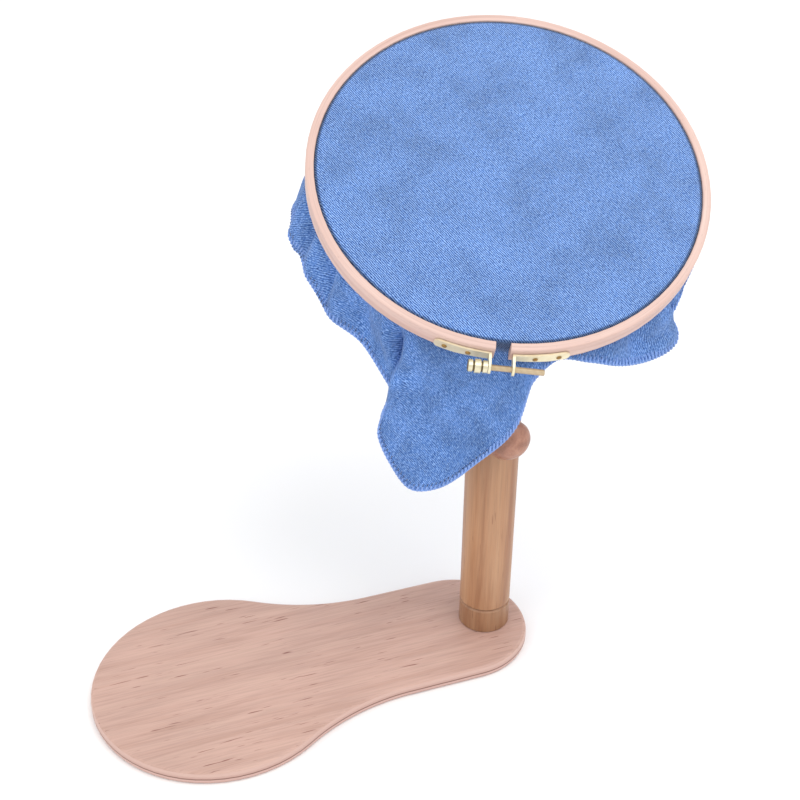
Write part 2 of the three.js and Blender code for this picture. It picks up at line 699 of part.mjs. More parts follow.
addPiece(hoop, 'tension_grip', tensionGrip(), brass);

export default stand;
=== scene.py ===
"""Looks of the embroidery hoop on its sit-on stand: woods, brass, and the blue cloth in the hoop.

Metres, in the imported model's own frame: the origin is under the middle of the base's round seat
end, +X runs to the post and +Z is up.
"""
import json
import math

import bpy
from mathutils import Matrix, Vector, noise


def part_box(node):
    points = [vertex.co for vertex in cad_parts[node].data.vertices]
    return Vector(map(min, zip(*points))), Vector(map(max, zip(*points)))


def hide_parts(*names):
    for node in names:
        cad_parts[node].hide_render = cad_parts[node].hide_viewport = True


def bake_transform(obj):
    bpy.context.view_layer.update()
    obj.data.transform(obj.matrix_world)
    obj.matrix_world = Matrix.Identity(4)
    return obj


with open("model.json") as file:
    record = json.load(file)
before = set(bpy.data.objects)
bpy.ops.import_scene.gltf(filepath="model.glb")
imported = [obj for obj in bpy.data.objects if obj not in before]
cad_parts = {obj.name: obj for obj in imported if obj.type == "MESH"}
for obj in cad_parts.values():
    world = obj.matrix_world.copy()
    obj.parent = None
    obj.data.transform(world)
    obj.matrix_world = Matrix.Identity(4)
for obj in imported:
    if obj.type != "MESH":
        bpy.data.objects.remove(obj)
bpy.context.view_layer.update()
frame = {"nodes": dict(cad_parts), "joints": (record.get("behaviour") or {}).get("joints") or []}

MM = 0.001
UP = Vector((0, 0, 1))

# ---- where things are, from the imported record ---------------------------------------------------

JOINTS = {joint["name"]: joint for joint in frame["joints"]}
HOOP_NORMAL = Vector(JOINTS["outer_ring_lift"]["axis"]).normalized()
HOOP_SIDE = -Vector(JOINTS["tension_screw_turn"]["axis"]).normalized()
HOOP_FRONT = HOOP_SIDE.cross(HOOP_NORMAL)
POST_X = JOINTS["post_swivel"]["pos_m"][0]


def middle(node):
    """The middle of a CAD node's box."""
    low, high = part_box(node)
    return (Vector(low) + Vector(high)) / 2


RING_DEPTH = 12.5 * MM             # from the outer ring's top to the underside of both rings
INNER_RING_DROP = 1.3 * MM         # how far the inner ring's top lies below the outer ring's
HOOP_CENTRE = middle("inner_ring") + HOOP_NORMAL * (INNER_RING_DROP + RING_DEPTH) / 2
HOOP_TO_ROW = Matrix((HOOP_FRONT, HOOP_SIDE, HOOP_NORMAL)).transposed()


def in_hoop(front, side, up):
    """A point given in the hoop's own frame, whose origin is the middle of the outer ring's top."""
    return HOOP_CENTRE + HOOP_TO_ROW @ Vector((front, side, up))


def round_hoop(angle, radius, height):
    """A point at an angle round the hoop, a radius from its middle and a height over its top."""
    return in_hoop(radius * math.cos(angle), radius * math.sin(angle), height)


def add_mesh(name, points, faces):
    """A new piece made of points and faces."""
    mesh = bpy.data.meshes.new(name)
    mesh.from_pydata([tuple(point) for point in points], [], faces)
    piece = bpy.data.objects.new(name, mesh)
    bpy.context.scene.collection.objects.link(piece)
    return piece


# ---- small node-tree helper ---------------------------------------------------------------------


class Look:
    """A material made of nodes. Its methods add one node each and return its output socket."""

    def __init__(self, name, roughness=0.5, metallic=0.0):
        self.material = bpy.data.materials.new(name)
        self.material.use_nodes = True
        self.tree = self.material.node_tree
        self.shader = self.tree.nodes["Principled BSDF"]
        self.shader.inputs["Roughness"].default_value = roughness
        self.shader.inputs["Metallic"].default_value = metallic

    def node(self, kind, inputs=None, **settings):
        made = self.tree.nodes.new("ShaderNode" + kind)
        for key, value in settings.items():
            setattr(made, key, value)
        for key, value in (inputs or {}).items():
            socket = made.inputs[key]
            if isinstance(value, bpy.types.NodeSocket):
                self.tree.links.new(value, socket)
            else:
                socket.default_value = value
        return made

    def place(self):
        """The row-frame position, which stays with the piece when it moves."""
        return self.node("TexCoord").outputs["Object"]

    def cloth_place(self):
        """The position on the flat cut cloth, in metres."""
        return self.node("UVMap", uv_map="flat").outputs["UV"]

    def turned(self, vector, location=(0, 0, 0), rotation=(0, 0, 0), scale=(1, 1, 1)):
        values = {"Vector": vector, "Location": location, "Rotation": rotation, "Scale": scale}
        return self.node("Mapping", values, vector_type="POINT").outputs["Vector"]

    def noise(self, vector, scale, detail=3.0, roughness=0.55, distortion=0.0):
        values = {
            "Vector": vector,
            "Scale": scale,
            "Detail": detail,
            "Roughness": roughness,
            "Distortion": distortion,
        }
        return self.node("TexNoise", values).outputs["Fac"]

    def math(self, operation, *values):
        return self.node("Math", dict(enumerate(values)), operation=operation).outputs[0]

    def fade(self, value, start, end, before=0.0, after=1.0):
        """Runs from before to after while the value goes from start to end."""
        values = {
            "Value": value,
            "From Min": start,
            "From Max": end,
            "To Min": before,
            "To Max": after,
        }
        return self.node("MapRange", values).outputs["Result"]

    def from_axis(self, point, axis):
        """The distance of the surface from an axis through a point, in metres."""
        offset = self.node("VectorMath", {0: self.place(), 1: tuple(point)}, operation="SUBTRACT")
        values = {0: offset.outputs[0], 1: tuple(axis)}
        sideways = self.node("VectorMath", values, operation="CROSS_PRODUCT")
        length = self.node("VectorMath", {0: sideways.outputs[0]}, operation="LENGTH")
        return length.outputs["Value"]

    def along(self, vector, axis):
        """How far a position lies along an axis."""
        made = self.node("VectorMath", {0: vector, 1: tuple(axis)}, operation="DOT_PRODUCT")
        return made.outputs["Value"]

    def distance(self, x, y):
        """The distance of (x, y) from the origin."""
        squares = [self.math("MULTIPLY", value, value) for value in (x, y)]
        return self.math("SQRT", self.math("ADD", *squares))

    def ramp(self, factor, *stops):
        """stops are (position, (r, g, b)) or (position, grey)."""
        made = self.node("ValToRGB", {"Fac": factor})
        elements = made.color_ramp.elements
        while len(elements) < len(stops):
            elements.new(0.5)
        for element, (position, colour) in zip(elements, stops):
            grey = not hasattr(colour, "__len__")
            element.position = position
            element.color = (colour, colour, colour, 1) if grey else (*colour, 1)
        return made.outputs["Color"]

    def mix(self, factor, first, second, blend="MIX"):
        made = self.node("Mix", {0: factor}, data_type="RGBA", blend_type=blend)
        for socket, value in ((made.inputs[6], first), (made.inputs[7], second)):
            if isinstance(value, bpy.types.NodeSocket):
                self.tree.links.new(value, socket)
            else:
                socket.default_value = (*value, 1)
        return made.outputs[2]

    def shaded(self, colour, tone):
        """A colour multiplied by a tone."""
        return self.mix(1.0, colour, tone, blend="MULTIPLY")

    def xyz(self, vector):
        made = self.node("SeparateXYZ", {"Vector": vector})
        return made.outputs["X"], made.outputs["Y"], made.outputs["Z"]

    def vector(self, x, y, z):
        return self.node("CombineXYZ", {"X": x, "Y": y, "Z": z}).outputs["Vector"]

    def colour(self, socket):
        self.tree.links.new(socket, self.shader.inputs["Base Color"])

    def rough(self, socket):
        self.tree.links.new(socket, self.shader.inputs["Roughness"])

    def bump(self, height, distance, strength=1.0):
        values = {"Height": height, "Distance": distance, "Strength": strength}
        normal = self.node("Bump", values).outputs["Normal"]
        self.tree.links.new(normal, self.shader.inputs["Normal"])


def srgb(red, green, blue):
    """Linear colour from 0-255 display values."""
    def linear(value):
        value /= 255
        return value / 12.92 if value <= 0.04045 else ((value + 0.055) / 1.055) ** 2.4
    return linear(red), linear(green), linear(blue)


def paint(look, *nodes):
    """Puts a material on CAD nodes."""
    for name in nodes:
        piece = frame["nodes"][name]
        piece.data.materials.clear()
        piece.data.materials.append(look.material)


# ---- woods --------------------------------------------------------------------------------------


def wood_look(name, along, pale, mid, dark, roughness, streaks=0.35, seed=0.0, band=0.010):
    """Wood whose grain runs along a row axis: long soft bands, fine pores and short dark flecks."""
    look = Look(name, roughness)
    across = Vector((1, 1, 1)) - Vector(along)
    place = look.turned(look.place(), location=(seed, seed * 0.7, seed * 1.3))

    def stretched(length, width):
        return look.turned(place, scale=tuple(Vector(along) / length + across / width))

    bands = look.noise(stretched(16 * band, band), 1.0, detail=4.0, distortion=0.4)
    fine = look.noise(stretched(0.030, 0.0011), 1.0, detail=3.0)
    flecks = look.noise(stretched(0.019, 0.0014), 1.0, detail=1.0)
    cloudy = look.noise(stretched(0.09, 0.035), 1.0, detail=2.0)
    colour = look.ramp(bands, (0.30, dark), (0.50, mid), (0.72, pale))
    fine_tone = look.ramp(fine, (0.35, 0.88), (0.58, 1.0))
    colour = look.shaded(colour, fine_tone)
    fleck_colour = (1 - streaks, 1 - 1.3 * streaks, 1 - 1.35 * streaks)
    fleck_tone = look.ramp(flecks, (0.235, fleck_colour), (0.30, (1.0, 1.0, 1.0)))
    colour = look.shaded(colour, fleck_tone)
    cloud_tone = look.ramp(cloudy, (0.3, 0.93), (0.7, 1.05))
    colour = look.shaded(colour, cloud_tone)
    look.shader.inputs["Coat Weight"].default_value = 0.15
    look.shader.inputs["Coat Roughness"].default_value = 0.35
    look.rough(look.math("MULTIPLY_ADD", fine, 0.18, roughness - 0.08))
    look.bump(look.math("ADD", fine, look.math("MULTIPLY", flecks, 0.6)), 0.00012, 0.6)
    return look, colour


BOARD_THICKNESS = 9 * MM


def base_look():
    """The plywood paddle: face veneer with dark flecks, and thin glue lines round its edge."""
    pale = srgb(203, 167, 152)
    mid = srgb(198, 161, 147)
    dark = srgb(189, 151, 136)
    look, colour = wood_look("plywood", (1, 0, 0), pale, mid, dark, 0.5, streaks=0.55, band=0.006)
    height = look.xyz(look.place())[2]
    wobble = look.math("MULTIPLY", look.noise(look.place(), 30.0), 0.0006)
    level = look.math("ADD", height, wobble)
    ply = look.math("DIVIDE", level, BOARD_THICKNESS)
    plies = look.ramp(
        ply,
        (0.00, srgb(168, 132, 120)),
        (0.10, srgb(196, 160, 150)),
        (0.44, srgb(204, 168, 158)),
        (0.47, srgb(128, 90, 78)),
        (0.53, srgb(120, 84, 72)),
        (0.57, srgb(188, 150, 138)),
        (0.80, srgb(202, 168, 156)),
    )
    normal = look.node("NewGeometry").outputs["Normal"]
    up = look.xyz(normal)[2]
    edge = look.ramp(look.math("ABSOLUTE", up), (0.45, 1.0), (0.8, 0.0))
    look.colour(look.mix(edge, colour, plies))
    return look


def post_look(name, seed, tone=1.0):
    """Turned wood with upright grain; a tone above 1 is paler."""
    pale = srgb(190 * tone, 147 * tone, 112 * tone)
    mid = srgb(176 * tone, 129 * tone, 94 * tone)
    dark = srgb(154 * tone, 104 * tone, 70 * tone)
    look, colour = wood_look(name, (0, 0, 1), pale, mid, dark, 0.45, streaks=0.28, seed=seed)
    look.colour(colour)
    return look


def knob_look():
    """The clamp knob: darker reddish brown, with a small yellowish patch of paler grain."""
    pale = srgb(190, 140, 116)
    mid = srgb(170, 118, 96)
    dark = srgb(140, 92, 72)
    look, colour = wood_look("knob_wood", (0, 1, 0), pale, mid, dark, 0.36, streaks=0.3, seed=0.31)
    patch = look.noise(look.turned(look.place(), location=(0.3, 0.1, 0.7)), 60.0, detail=1.0)
    blotch = look.ramp(patch, (0.62, 0.0), (0.74, 0.55))
    look.colour(look.mix(blotch, colour, srgb(190, 146, 96)))
    return look


LAMINATE_RADIUS = 126.7 * MM       # the glue line between the two thin strips of the outer ring
GRAIN_RADIUS = 126 * MM            # the radius at which the grain keeps its true length


def ring_look(name, seed, pale, mid, dark):
    """Bent wood: the grain follows the ring round, and shows as long thin lines."""
    look = Look(name, 0.5)
    local = look.node("VectorMath", {0: look.place(), 1: tuple(HOOP_CENTRE)}, operation="SUBTRACT")
    axes = (HOOP_FRONT, HOOP_SIDE, HOOP_NORMAL)
    front, side, up = (look.along(local.outputs[0], axis) for axis in axes)
    radius = look.distance(front, side)
    turn = look.math("ARCTAN2", side, front)
    round_way = look.math("ADD", look.math("MULTIPLY", turn, GRAIN_RADIUS), seed)

    def grain(length, width):
        return look.vector(
            look.math("DIVIDE", round_way, length),
            look.math("DIVIDE", radius, width),
            look.math("DIVIDE", up, width),
        )

    bands = look.noise(grain(0.13, 0.0045), 1.0, detail=3.0, distortion=0.4)
    fine = look.noise(grain(0.035, 0.0007), 1.0, detail=2.0)
    flecks = look.noise(grain(0.006, 0.0006), 1.0, detail=1.0)
    colour = look.ramp(bands, (0.3, dark), (0.5, mid), (0.7, pale))
    colour = look.shaded(colour, look.ramp(fine, (0.36, 0.94), (0.6, 1.0)))
    colour = look.shaded(colour, look.ramp(flecks, (0.25, 0.82), (0.32, 1.0)))
    off_line = look.math("ABSOLUTE", look.math("SUBTRACT", radius, LAMINATE_RADIUS))
    off_line_mm = look.math("DIVIDE", off_line, MM)
    colour = look.shaded(colour, look.ramp(off_line_mm, (0.12, 0.93), (0.35, 1.0)))
    look.colour(colour)
    look.rough(look.math("MULTIPLY_ADD", fine, 0.2, 0.42))
    look.bump(fine, 0.0001, 0.6)
    return look


# ---- metals -------------------------------------------------------------------------------------


def metal_look(name, colour, wear_and_groove_shade, roughness, metallic=1.0):
    """Metal with cloudy patches of a worn colour, and fine scratches in its roughness."""
    look = Look(name, roughness, metallic)
    place = look.place()
    cloud = look.noise(place, 180.0, detail=3.0)
    scratches = look.noise(place, 900.0, detail=1.0)
    look.colour(look.mix(look.ramp(cloud, (0.4, 0.0), (0.75, 0.6)), colour, wear_and_groove_shade))
    look.rough(look.math("MULTIPLY_ADD", scratches, 0.10, roughness - 0.05))
    return look


NECK_RADIUS = 3.3 * MM             # painted shade darkens the grip up to here
COLLAR_RADIUS = 3.7 * MM           # and the grip has its full colour from here on


def grip_look():
    """The turned grip: pale brass, with painted shade in the necks between its collars."""
    look = Look("grip_brass", 0.3, metallic=0.8)
    screw = JOINTS["tension_screw_turn"]
    radius = look.from_axis(screw["pos_m"], HOOP_SIDE)
    out_of_neck_shade = look.fade(radius, NECK_RADIUS, COLLAR_RADIUS)
    cloud = look.noise(look.place(), 300.0, detail=2.0)
    pale = look.mix(cloud, srgb(238, 230, 204), srgb(206, 196, 162))
    # painted shade: the necks between the collars take a dark brown
    look.colour(look.mix(out_of_neck_shade, srgb(112, 96, 66), pale))
    return look


def thread_look(name, colour, wear_and_groove_shade, pitch, roughness):
    """Metal with a screw thread cut round it, along the hoop's side axis, with painted shade in its
    grooves.
    """
    look = Look(name, roughness, metallic=0.85)
    phase = look.math("MULTIPLY", look.along(look.place(), HOOP_SIDE), math.tau / pitch)
    ridge = look.math("SINE", phase)
    # painted shade: the thread's grooves take the darker colour, its ridges the main one
    tone = look.ramp(look.math("MULTIPLY_ADD", ridge, 0.5, 0.5), (0.1, wear_and_groove_shade), (0.6, colour))
    look.colour(tone)
    look.bump(ridge, pitch * 0.12, 1.0)
    return look


# ---- cloth material -----------------------------------------------------------------------------

RIB_PITCH = 1.2 * MM
RIB_WAVER = 2 * MM                 # how far the ribs wander sideways
FLOAT_LENGTH = 2 * MM              # the size of the threads that show on the face
FLOAT_WIDTH = 0.5 * MM
RIBS_FADE = (128 * MM, 142 * MM)   # from the middle of the cloth: the loose cloth's ribs are faint
DIVES = (121.7 * MM, 122.4 * MM)   # painted shade darkens the cloth here, where it goes down between the rings
COMES_OUT = (130 * MM, 138 * MM)   # and the painted shade has faded out here, below them
CLOTH_DEEP = srgb(28, 62, 126)
CLOTH_MID = srgb(80, 123, 192)
CLOTH_LIGHT = srgb(156, 192, 248)


def twill_look(name):
    """Brushed blue twill: diagonal ribs cut into threads, light flecks and cloudy patches, with
    painted shade where it goes between the rings and painted light and shade on the loose cloth's
    creases.
    """
    look = Look(name, 0.88)
    flat = look.cloth_place()
    x, y, _ = look.xyz(flat)
    waver = look.math("MULTIPLY", look.noise(flat, 260.0, detail=3.0), RIB_WAVER)
    rib_turn = math.tau / (RIB_PITCH * math.sqrt(2))
    across = look.math("ADD", look.math("SUBTRACT", x, y), waver)
    rib = look.math("SINE", look.math("MULTIPLY", across, rib_turn))
    reach = look.distance(x, y)
    rib_strength = look.fade(reach, *RIBS_FADE, before=0.17, after=0.06)
    twisted = look.turned(flat, rotation=(0, 0, -math.pi / 4))
    threads = look.turned(twisted, scale=(1 / FLOAT_LENGTH, 1 / FLOAT_WIDTH, 1))
    floats = look.noise(threads, 1.0, detail=2.0)
    nap = look.noise(flat, 700.0, detail=4.0, roughness=0.75)
    cloud = look.noise(flat, 24.0, detail=5.0, roughness=0.62)
    body = look.math("MULTIPLY_ADD", rib, rib_strength, 0.02)
    body = look.math("MULTIPLY_ADD", floats, 0.60, body)
    body = look.math("MULTIPLY_ADD", nap, 0.44, body)
    colour = look.ramp(body, (0.36, CLOTH_DEEP), (0.53, CLOTH_MID), (0.70, CLOTH_LIGHT))
    patches = look.ramp(cloud, (0.36, 0.80), (0.50, 0.98), (0.64, 1.08))
    colour = look.shaded(colour, patches)
    # painted shade: the threads are darkened, behind a serrated line, where they dive between the
    # two rings, and back to full tone below them
    edge = look.math("MULTIPLY_ADD", rib, 0.3 * MM, reach)
    inside = look.fade(edge, *DIVES, before=1.0, after=0.0)
    below = look.fade(reach, *COMES_OUT)
    gap_shade = look.ramp(look.math("ADD", inside, below), (0.0, 0.38), (1.0, 1.0))
    colour = look.shaded(colour, gap_shade)
    # painted light and shade on the loose cloth: lighter along its creases and darker between them
    crumpled = look.noise(flat, 62.0, detail=2.0)
    crease_light_and_shade = look.ramp(crumpled, (0.36, 0.84), (0.50, 0.98), (0.64, 1.09))
    look.colour(look.mix(below, colour, look.shaded(colour, crease_light_and_shade)))
    look.shader.inputs["Sheen Weight"].default_value = 0.25
    look.shader.inputs["Sheen Roughness"].default_value = 0.5
    look.shader.inputs["Sheen Tint"].default_value = (0.75, 0.85, 1.0, 1.0)
    look.shader.inputs["Specular IOR Level"].default_value = 0.2
    ribbed_nap = look.math("MULTIPLY_ADD", rib, 0.25, nap)
    look.bump(look.math("MULTIPLY_ADD", floats, 1.2, ribbed_nap), 0.5 * MM, 0.8)
    return look


def stitch_look():
    """The overlocked border's yarn: paler blue, twisted."""
    look = Look("hem_yarn", 0.8)
    place = look.place()
    strands = look.noise(place, 1400.0, detail=2.0)
    cloud = look.noise(place, 60.0, detail=2.0)
    colour = look.ramp(strands, (0.3, srgb(92, 130, 200)), (0.6, srgb(136, 170, 232)))
    look.colour(look.shaded(colour, look.ramp(cloud, (0.3, 0.9), (0.7, 1.05))))
    look.shader.inputs["Sheen Weight"].default_value = 0.3
    look.bump(strands, 0.0002, 0.7)
    return look


# ---- the cloth ----------------------------------------------------------------------------------

CLOTH_THICKNESS = 0.9 * MM
WRAP_RADIUS = 123.25 * MM          # where the cloth runs between the two rings
FACE_DROP = 0.55 * MM              # how far the cloth's face lies below the outer ring's top
FACE_SAG = 0.25 * MM               # how far the middle of the face sags
FACE_SLACK = 0.25 * MM             # the height of the face's soft waves
EDGE_WIDTH = 3.2 * MM              # the width over which the face rounds down at its edge
EDGE_FALL = 0.9 * MM               # and how far it rounds down there
WRAP_START = 1.6 * MM              # the depth where the wrapped part begins
UNDER_RING = 0.4 * MM              # the cloth leaves the rings this far below their underside
TURN_DOWN = 7 * MM                 # the length over which the leaving cloth bends down
FULL_HANG = 24                     # mm: a shorter hang has shallower folds
COLUMNS = 540
FACE_ROWS = 26
WRAP_ROWS = 7
SKIRT_ROWS = 30

# The hem, going round: the angle where a thread leaves the ring (degrees from the ring's gap), the
# angle where it ends at the hem, how far it hangs (mm) and how far out it stands for each mm down.
HEM = (
    (-150, -150, 34, 0.10),
    (-134, -133, 30, 0.15),
    (-126, -126, 15, 1.10),
    (-120, -119, 38, 0.15),
    (-113, -112, 66, 0.12),
    (-101, -99, 48, 0.28),
    (-91, -90, 35, 0.46),
    (-81, -80, 31, 0.50),
    (-76.5, -76, 30.5, 0.50),
    (-72.5, -72, 28, 0.45),
    (-60, -59, 29, 0.42),
    (-52, -52, 34, 0.26),
    (-44, -42, 31, 0.20),
    (-37, -33, 40, 0.20),
    (-31.5, -29.5, 49, 0.20),
    (-27, -31.5, 67, 0.20),
    (-24.5, -32, 77, 0.20),
    (-20, -27, 94, 0.20),
    (-16, -21, 103.5, 0.20),
    (-12, -15, 98, 0.20),
    (-3, -4, 72, 0.20),
    (4.5, 5, 46, 0.20),
    (9.5, 9, 19, 0.20),
    (17, 17, 6, 0.20),
    (27, 26.5, 13, 0.18),
    (40, 40, 28, 0.12),
    (49.5, 56, 40, 0.12),
    (52, 60, 41, 0.12),
    (54.5, 61.5, 37, 0.12),
    (60.5, 59.5, 21, 0.12),
    (68, 65, 17, 0.10),
    (72, 68, 20, 0.00),
    (100, 99, 22, 0.08),
    (135, 135, 28, 0.16),
    (158, 157, 60, 0.12),
    (180, 180, 36, 0.12),
    (210, 210, 34, 0.10),
)

# Folds: the angle at the ring, its width (degrees), how far it stands out (mm, minus is a hollow),
# how many degrees it leans by the hem, and the share of the hang where it has faded out.
FOLDS = (
    (-34.5, 2.4, 3.5, 1.0, 0.80),
    (-29.6, 2.2, -8.0, 0.0, 0.62),
    (-24.5, 2.8, 4.0, -2.0, 0.85),
    (-11.0, 7.0, -3.0, 3.0, 1.30),
    (2.0, 5.0, 4.0, 2.0, 1.30),
    (-44.0, 3.0, -4.5, 1.0, 1.00),
    (-51.0, 3.0, 3.5, -2.0, 1.20),
    (-59.0, 2.6, -4.5, 2.0, 1.00),
    (-66.0, 3.0, 4.0, 0.0, 1.20),
    (-72.0, 2.4, -5.5, -1.0, 0.95),
    (-80.0, 2.8, 4.5, -1.0, 1.20),
    (-88.0, 3.0, -4.0, 0.0, 1.10),
    (-98.0, 4.0, 2.5, 0.0, 1.20),
    (33.0, 3.0, 2.0, 0.0, 1.20),
    (41.0, 3.2, -5.0, 2.0, 1.00),
    (47.0, 4.0, 4.0, 4.0, 1.30),
    (58.5, 2.6, -4.0, 0.0, 1.20),
    (82.0, 5.0, 2.6, 0.0, 1.20),
    (104.0, 6.0, -3.0, 0.0, 1.20),
    (126.0, 6.0, 3.0, 0.0, 1.20),
    (147.0, 5.0, -4.0, 2.0, 1.20),
    (160.0, 6.0, 3.5, 0.0, 1.30),
    (176.0, 5.0, -4.0, -2.0, 1.20),
    (197.0, 6.0, 3.0, 0.0, 1.20),
    (226.0, 5.0, -3.5, 0.0, 1.20),
    (240.0, 5.0, 3.5, 0.0, 1.20),
    (252.0, 4.0, -3.0, 0.0, 1.20),
)


def smooth(low, high, value):
    """0 below low and 1 above high, with a soft start and end between them."""
    t = min(1.0, max(0.0, (value - low) / (high - low)))
    return t * t * (3 - 2 * t)


def turned(row, degrees):
    """A row of HEM as it reads after going on round by some degrees."""
    root, end, hang, flare = row
    return root + degrees, end + degrees, hang, flare


# HEM with one more row at each end, so that each of its own rows has two neighbours
HEM_ROUND = (turned(HEM[-2], -360), *HEM, turned(HEM[1], 360))


def hem_slope(index, column):
    """The slope of a column at a row of HEM_ROUND. It is 0 at a peak or hollow, and elsewhere it
    is the harmonic mean of the slopes on both sides, so that the curve never overshoots."""
    before, here, after = HEM_ROUND[index - 1:index + 2]
    left = (here[column] - before[column]) / (here[0] - before[0])
    right = (after[column] - here[column]) / (after[0] - here[0])
    if left * right <= 0:
        return 0.0
    return 2 * left * right / (left + right)


def hem_at(root):
    """(angle at the hem, hang, flare) for the thread that leaves the ring at an angle, smoothly."""
    after = next(i for i in range(2, len(HEM_ROUND)) if HEM_ROUND[i][0] >= root)
    before = after - 1
    low, high = HEM_ROUND[before], HEM_ROUND[after]
    span = high[0] - low[0]
    t = (root - low[0]) / span
    values = []
    for column in (1, 2, 3):
        leaving = hem_slope(before, column) * span
        arriving = hem_slope(after, column) * span
        values.append(
            (2 * t ** 3 - 3 * t ** 2 + 1) * low[column]
            + (t ** 3 - 2 * t ** 2 + t) * leaving
            + (3 * t ** 2 - 2 * t ** 3) * high[column]
            + (t ** 3 - t ** 2) * arriving
        )
    return values


def fold_at(root, share, hang):
    """How far the folds push the cloth out at a share of its hang, in metres."""
    total = 0.0
    for angle, width, height, lean, fade in FOLDS:
        turn = (root - angle - lean * share + 180) % 360 - 180
        if abs(turn) > 3 * width:
            continue
        shape = math.exp(-(turn / width) ** 2)
        faded = 1 - smooth(fade * 0.55, fade, share)
        total += height * shape * smooth(0.02, 0.35, share) * faded
    return total * MM * min(1.0, hang / FULL_HANG)


def skirt_point(root, share):
    """A point of the hanging cloth: share 0 is under the ring and 1 is the hem."""
    hem_angle, hang, flare = hem_at(root)
    angle = math.radians(root + (hem_angle - root) * share ** 1.2)
    outward = HOOP_TO_ROW @ Vector((math.cos(angle), math.sin(angle), 0))
    level = Vector((outward.x, outward.y, 0)).normalized()
    ring = round_hoop(angle, WRAP_RADIUS, -RING_DEPTH - UNDER_RING)
    length = hang * MM * share
    # the cloth leaves the ring square to it, then turns down under its own weight
    turned_down = smooth(0.0, TURN_DOWN, length)
    down = (-HOOP_NORMAL).lerp(-UP, turned_down).normalized() * length
    ripple = noise.noise(Vector((root * 0.05, share * 1.5, 4.2))) * 1.6 * MM
    crumple = noise.noise(Vector((root * 0.14, length * 70, 9.4))) * 2.8 * MM
    crumple *= 1 - smooth(0.5, 0.9, share)
    loose = smooth(0, 0.4, share) * min(1.0, hang / FULL_HANG)
    out = flare * length + fold_at(root, share, hang) + (ripple + crumple) * loose
    return ring + down + level * out


def face_point(angle, radius):
    """The stretched face: almost flat, and rounded over the inner ring's edge."""
    part = radius / WRAP_RADIUS
    sag = FACE_SAG * (1 - part ** 2)
    bend = smooth(WRAP_RADIUS - EDGE_WIDTH, WRAP_RADIUS, radius) * EDGE_FALL
    wave = noise.noise(Vector((radius * 14 * math.cos(angle), radius * 14 * math.sin(angle), 1.3)))
    height = -FACE_DROP - sag - bend + wave * FACE_SLACK * (1 - part)
    return round_hoop(angle, radius, height)


def thread_column(root):
    """The points of one thread from the middle of the face to the hem, each with its distance from
    the middle along the flat cloth."""
    angle = math.radians(root)
    hang = hem_at(root)[1] * MM
    column = []
    for row in range(1, FACE_ROWS + 1):
        radius = WRAP_RADIUS * (1 - (1 - row / FACE_ROWS) ** 1.5)
        column.append((face_point(angle, radius), radius))
    for row in range(1, WRAP_ROWS + 1):
        depth = WRAP_START + (RING_DEPTH + UNDER_RING - WRAP_START) * row / WRAP_ROWS
        column.append((round_hoop(angle, WRAP_RADIUS, -depth), WRAP_RADIUS + depth))
    for row in range(1, SKIRT_ROWS + 1):
        share = row / SKIRT_ROWS
        column.append((skirt_point(root, share), WRAP_RADIUS + RING_DEPTH + hang * share))
    return column


def cloth_columns():
    """(angle, thread column) for every thread round the hoop."""
    roots = [HEM[0][0] + 360 * index / COLUMNS for index in range(COLUMNS)]
    return [(math.radians(root), thread_column(root)) for root in roots]


def build_cloth(columns):
    """One sheet through all the threads, with its flat cut as UV coordinates in metres."""
    points = [face_point(0, 0)]
    flats = [(0.0, 0.0)]
    for angle, column in columns:
        for place, reach in column:
            points.append(place)
            flats.append((reach * math.cos(angle), reach * math.sin(angle)))
    rows = len(columns[0][1])
    faces = []
    for index in range(COLUMNS):
        here = 1 + index * rows
        there = 1 + ((index + 1) % COLUMNS) * rows
        faces.append((0, here, there))
        for row in range(rows - 1):
            faces.append((here + row, here + row + 1, there + row + 1, there + row))
    piece = add_mesh("cloth", points, faces)
    mesh = piece.data
    layer = mesh.uv_layers.new(name="flat")
    for loop in mesh.loops:
        layer.data[loop.index].uv = flats[loop.vertex_index]
    mesh.shade_smooth()
    mesh.update()
    return piece


def apply_modifiers(piece):
    """Puts the piece's modifiers into its mesh."""
    graph = bpy.context.evaluated_depsgraph_get()
    mesh = bpy.data.meshes.new_from_object(piece.evaluated_get(graph))
    piece.modifiers.clear()
    piece.data = mesh


# ---- the overlocked hem -------------------------------------------------------------------------

STITCH_PITCH = 2.9 * MM
STITCH_LENGTH = 5.4 * MM
YARN_RADIUS = 0.62 * MM
STITCH_SLANT = 0.3 * MM            # how far a stitch's inner end lies on round the hem
STITCH_TAIL = 0.3 * MM             # how far its thin end runs on into the cloth
AHEAD = 1 * MM                     # the step round the hem that gives its direction
LINK_LENGTH = 1.5 * MM             # the length of each piece of the yarn along the edge
LINK_INSET = 0.15 * MM
TINY = 1e-9


def add_tube(points, radii, verts, faces, sides=6):
    """Appends a closed tube along points to a mesh in the making."""
    start = len(verts)
    for index, point in enumerate(points):
        before = points[max(0, index - 1)]
        after = points[min(len(points) - 1, index + 1)]
        along = (after - before).normalized()
        steep = abs(along.z) >= 0.9
        side = along.cross(Vector((1, 0, 0)) if steep else UP).normalized()
        other = along.cross(side)
        for step in range(sides):
            turn = math.tau * step / sides
            verts.append(point + (side * math.cos(turn) + other * math.sin(turn)) * radii[index])
    for index in range(len(points) - 1):
        for step in range(sides):
            low = start + index * sides
            nxt = (step + 1) % sides
            faces.append((low + step, low + nxt, low + sides + nxt, low + sides + step))
    faces.append(tuple(start + step for step in reversed(range(sides))))
    last = start + (len(points) - 1) * sides
    faces.append(tuple(last + step for step in range(sides)))


def inset_point(thread, inset):
    """The point of a thread an inset back from its end at the hem, measured along it."""
    left = inset
    row = len(thread) - 1
    while row > 0 and (thread[row] - thread[row - 1]).length < left:
        left -= (thread[row] - thread[row - 1]).length
        row -= 1
    step = thread[row - 1] - thread[row]
    return thread[row] + step * (left / max(TINY, step.length))


